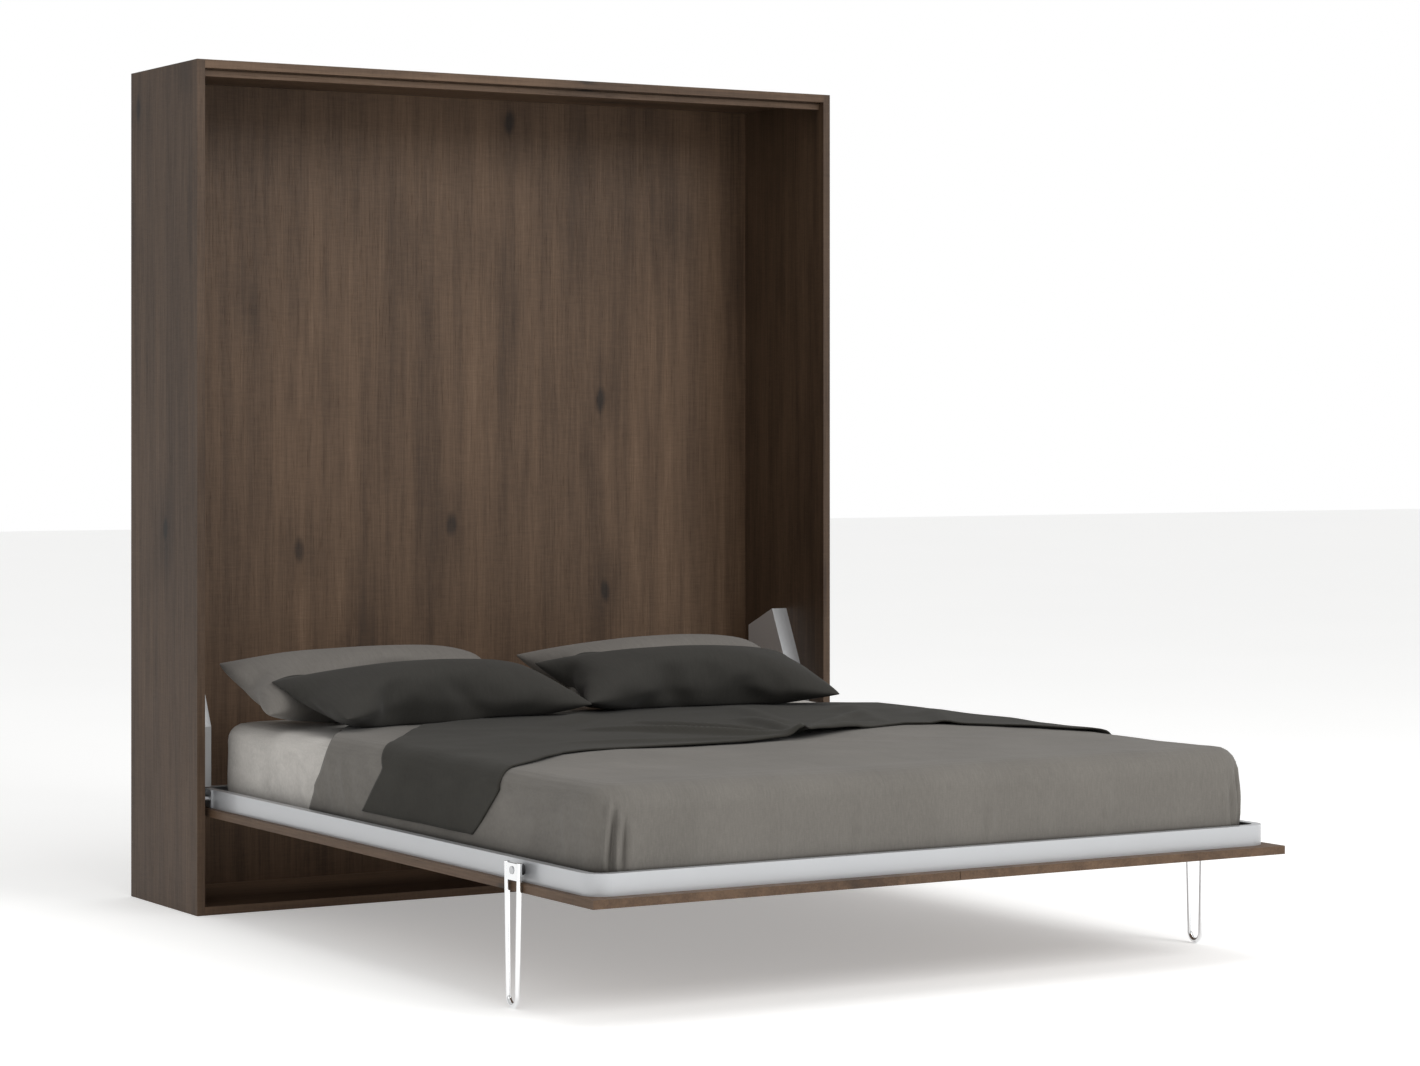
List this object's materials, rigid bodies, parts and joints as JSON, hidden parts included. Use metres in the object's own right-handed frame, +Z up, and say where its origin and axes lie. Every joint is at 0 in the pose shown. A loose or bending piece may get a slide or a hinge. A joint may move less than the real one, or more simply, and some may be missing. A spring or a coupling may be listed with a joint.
{
  "type": "murphy wall bed",
  "caption": "Wall bed: shallow dark oak cabinet with a fold-down double bed on hairpin legs, gas springs, mattress, duvet, throw and pillows.",
  "frame": {"origin": "on the floor, under the centre of the whole part's bounding box with the bed open", "axes": "+X across the cabinet to the right as seen from the foot of the bed, +Y from the foot of the bed into the wall, +Z up"},
  "size_m": [1.78, 2.278, 2.026],
  "materials": {
    "oak_board": "dark brown oak melamine with a vertical grain, matt",
    "slat_beech": "plain lacquered beech",
    "socket_plastic": "moulded, matt",
    "rim_paint": "silver powder coat, satin",
    "cover_paint": "silver-grey powder coat, satin",
    "pivot_plastic": "turned, matt",
    "zinc_steel": "zinc plated",
    "leg_chrome": "bright chrome plate",
    "guide_nylon": "natural nylon",
    "rod_chrome": "ground and hard-chromed",
    "cylinder_black": "black enamel",
    "sheet_light": "fine cotton sheet over a mattress",
    "duvet_taupe": "fine cotton, taupe",
    "throw_charcoal": "soft brushed cotton, charcoal",
    "pillow_grey": "fine cotton, warm grey",
    "pillow_charcoal": "fine cotton, charcoal"
  },
  "bodies": {
    "cabinet": {"side_panel_left": "oak_board", "side_panel_right": "oak_board", "top_panel": "oak_board", "bottom_panel": "oak_board", "back_panel_left": "oak_board", "back_panel_right": "oak_board", "stop_rail": "oak_board", "corner_dowels": "slat_beech", "wall_hooks": "zinc_steel", "guide_plate_left": "zinc_steel", "guide_plate_right": "zinc_steel", "plate_screws_left": "zinc_steel", "plate_screws_right": "zinc_steel", "mechanism_cover_left": "cover_paint", "mechanism_cover_right": "cover_paint", "gas_top_mount_left": "zinc_steel", "gas_top_mount_right": "zinc_steel"},
    "leg_left": {"leg_left": "leg_chrome"},
    "leg_right": {"leg_right": "leg_chrome"},
    "gas_rod_left": {"gas_rod_left": "rod_chrome"},
    "gas_rod_right": {"gas_rod_right": "rod_chrome"},
    "gas_cylinder_left": {"gas_cylinder_left": "cylinder_black"},
    "gas_cylinder_right": {"gas_cylinder_right": "cylinder_black"},
    "bed": {"rim_frame": "rim_paint", "centre_beam": "rim_paint", "cross_bars": "rim_paint", "slats_left": "slat_beech", "slats_right": "slat_beech", "slat_caps_left": "socket_plastic", "slat_caps_right": "socket_plastic", "slat_caps_centre": "socket_plastic", "door_panel_left": "oak_board", "door_panel_right": "oak_board", "door_screws": "zinc_steel", "pin_bracket_left": "zinc_steel", "pin_bracket_right": "zinc_steel", "guide_bushes_left": "guide_nylon", "guide_bushes_right": "guide_nylon", "leg_bush_left": "pivot_plastic", "leg_bush_right": "pivot_plastic", "leg_pin_left": "zinc_steel", "leg_pin_right": "zinc_steel", "mattress": "sheet_light", "duvet": "duvet_taupe", "throw": "throw_charcoal", "pillow_light_left": "pillow_grey", "pillow_light_right": "pillow_grey", "pillow_dark_left": "pillow_charcoal", "pillow_dark_right": "pillow_charcoal"}
  },
  "joints": [
    {"name": "bed_fold", "type": "hinge", "parent": "cabinet", "child": "bed", "pos_m": [0, 0.67725, 0.18625], "axis": [-1, 0, 0], "range_deg": [0, 90]},
    {"name": "leg_left_fold", "type": "hinge", "parent": "bed", "child": "leg_left", "pos_m": [-0.863, -0.824, 0.275], "axis": [1, 0, 0], "range_deg": [0, 90]},
    {"name": "gas_rod_left_swing", "type": "hinge", "parent": "bed", "child": "gas_rod_left", "pos_m": [-0.8545, 0.797, 0.284], "axis": [1, 0, 0], "range_deg": [0, 96.61]},
    {"name": "gas_cylinder_left_slide", "type": "slide", "parent": "gas_rod_left", "child": "gas_cylinder_left", "axis": [0, 0.3569, 0.9341], "range_m": [0, 0.2151]},
    {"name": "leg_right_fold", "type": "hinge", "parent": "bed", "child": "leg_right", "pos_m": [0.863, -0.824, 0.275], "axis": [1, 0, 0], "range_deg": [0, 90]},
    {"name": "gas_rod_right_swing", "type": "hinge", "parent": "bed", "child": "gas_rod_right", "pos_m": [0.8545, 0.797, 0.284], "axis": [1, 0, 0], "range_deg": [0, 96.61]},
    {"name": "gas_cylinder_right_slide", "type": "slide", "parent": "gas_rod_right", "child": "gas_cylinder_right", "axis": [0, 0.3569, 0.9341], "range_m": [0, 0.2151]}
  ],
  "couplings": [
    {"joint": "leg_left_fold", "follows": "bed_fold", "ratio": 1},
    {"joint": "gas_rod_left_swing", "follows": "bed_fold", "ratio": 1.0679},
    {"joint": "gas_cylinder_left_slide", "follows": "bed_fold", "m_per_rad": 0.13628},
    {"joint": "leg_right_fold", "follows": "bed_fold", "ratio": 1},
    {"joint": "gas_rod_right_swing", "follows": "bed_fold", "ratio": 1.0679},
    {"joint": "gas_cylinder_right_slide", "follows": "bed_fold", "m_per_rad": 0.13628}
  ]
}
